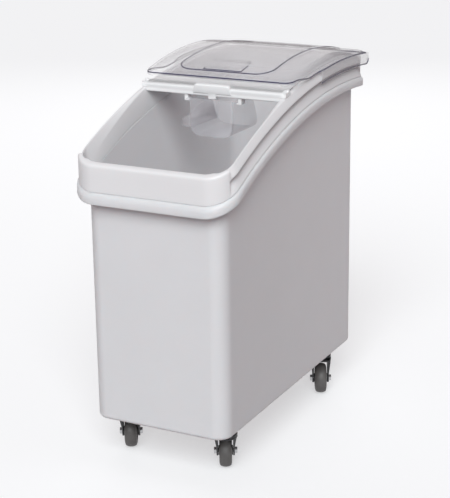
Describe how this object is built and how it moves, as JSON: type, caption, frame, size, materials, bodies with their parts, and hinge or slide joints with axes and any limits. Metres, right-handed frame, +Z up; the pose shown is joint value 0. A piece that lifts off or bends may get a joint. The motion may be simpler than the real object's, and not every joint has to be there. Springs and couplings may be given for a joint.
{
  "type": "rolling ingredient bin",
  "caption": "Tall white plastic flour bin with a sloping mouth, a clear domed lid that slides back on curved rails, a clear scoop hung under a cross bar, and swivel casters.",
  "frame": {"origin": "on the floor, under the middle of the bin's outline", "axes": "+Z up, -Y to the front of the bin, where the mouth slopes down, +X to the right as seen from the front"},
  "size_m": [0.33, 0.65, 0.7395],
  "materials": {
    "tub_white": "moulded, satin",
    "frame_white": "moulded, satin",
    "clear_lid": "clear, polished",
    "clear_scoop": "clear, polished",
    "caster_black": "black, semi-gloss",
    "zinc_steel": "zinc plated",
    "wheel_grey": "moulded",
    "bush_grey": "moulded",
    "tyre_grey": "dark grey, matt"
  },
  "bodies": {
    "bin": {"tub": "tub_white", "top_frame": "frame_white", "frame_screws": "zinc_steel", "scoop_bar": "frame_white", "bar_screws": "zinc_steel", "rear_cover": "clear_lid", "caster_plate_front_left": "caster_black", "plate_bolts_front_left": "zinc_steel", "kingpin_front_left": "zinc_steel", "caster_plate_front_right": "caster_black", "plate_bolts_front_right": "zinc_steel", "kingpin_front_right": "zinc_steel", "caster_plate_rear_left": "caster_black", "plate_bolts_rear_left": "zinc_steel", "kingpin_rear_left": "zinc_steel", "caster_plate_rear_right": "caster_black", "plate_bolts_rear_right": "zinc_steel", "kingpin_rear_right": "zinc_steel"},
    "lid": {"sliding_lid": "clear_lid"},
    "scoop": {"scoop": "clear_scoop"},
    "swivel_front_left": {"swivel_race_front_left": "caster_black", "fork_front_left": "caster_black", "axle_bolt_front_left": "zinc_steel", "axle_nut_front_left": "zinc_steel"},
    "wheel_front_left": {"wheel_hub_front_left": "wheel_grey", "wheel_bush_front_left": "bush_grey", "tyre_front_left": "tyre_grey"},
    "swivel_front_right": {"swivel_race_front_right": "caster_black", "fork_front_right": "caster_black", "axle_bolt_front_right": "zinc_steel", "axle_nut_front_right": "zinc_steel"},
    "wheel_front_right": {"wheel_hub_front_right": "wheel_grey", "wheel_bush_front_right": "bush_grey", "tyre_front_right": "tyre_grey"},
    "swivel_rear_left": {"swivel_race_rear_left": "caster_black", "fork_rear_left": "caster_black", "axle_bolt_rear_left": "zinc_steel", "axle_nut_rear_left": "zinc_steel"},
    "wheel_rear_left": {"wheel_hub_rear_left": "wheel_grey", "wheel_bush_rear_left": "bush_grey", "tyre_rear_left": "tyre_grey"},
    "swivel_rear_right": {"swivel_race_rear_right": "caster_black", "fork_rear_right": "caster_black", "axle_bolt_rear_right": "zinc_steel", "axle_nut_rear_right": "zinc_steel"},
    "wheel_rear_right": {"wheel_hub_rear_right": "wheel_grey", "wheel_bush_rear_right": "bush_grey", "tyre_rear_right": "tyre_grey"}
  },
  "joints": [
    {"name": "lid_slide", "type": "hinge", "parent": "bin", "child": "lid", "pos_m": [0, 0.193, -0.419], "axis": [1, 0, 0], "range_deg": [0, 13.8]},
    {"name": "scoop_slide", "type": "slide", "parent": "bin", "child": "scoop", "axis": [0, -1, 0], "range_m": [0, 0.055]},
    {"name": "swivel_turn_front_left", "type": "hinge", "parent": "bin", "child": "swivel_front_left", "pos_m": [-0.104, -0.23, 0.08], "axis": [0, 0, 1], "continuous": true},
    {"name": "wheel_spin_front_left", "type": "hinge", "parent": "swivel_front_left", "child": "wheel_front_left", "pos_m": [-0.11308, -0.21218, 0.0315], "axis": [-0.891, -0.454, 0], "continuous": true},
    {"name": "swivel_turn_front_right", "type": "hinge", "parent": "bin", "child": "swivel_front_right", "pos_m": [0.104, -0.23, 0.08], "axis": [0, 0, 1], "continuous": true},
    {"name": "wheel_spin_front_right", "type": "hinge", "parent": "swivel_front_right", "child": "wheel_front_right", "pos_m": [0.09492, -0.21218, 0.0315], "axis": [-0.891, -0.454, 0], "continuous": true},
    {"name": "swivel_turn_rear_left", "type": "hinge", "parent": "bin", "child": "swivel_rear_left", "pos_m": [-0.104, 0.212, 0.08], "axis": [0, 0, 1], "continuous": true},
    {"name": "wheel_spin_rear_left", "type": "hinge", "parent": "swivel_rear_left", "child": "wheel_rear_left", "pos_m": [-0.09492, 0.19418, 0.0315], "axis": [0.891, 0.454, 0], "continuous": true},
    {"name": "swivel_turn_rear_right", "type": "hinge", "parent": "bin", "child": "swivel_rear_right", "pos_m": [0.104, 0.212, 0.08], "axis": [0, 0, 1], "continuous": true},
    {"name": "wheel_spin_rear_right", "type": "hinge", "parent": "swivel_rear_right", "child": "wheel_rear_right", "pos_m": [0.11308, 0.19418, 0.0315], "axis": [0.891, 0.454, 0], "continuous": true}
  ]
}
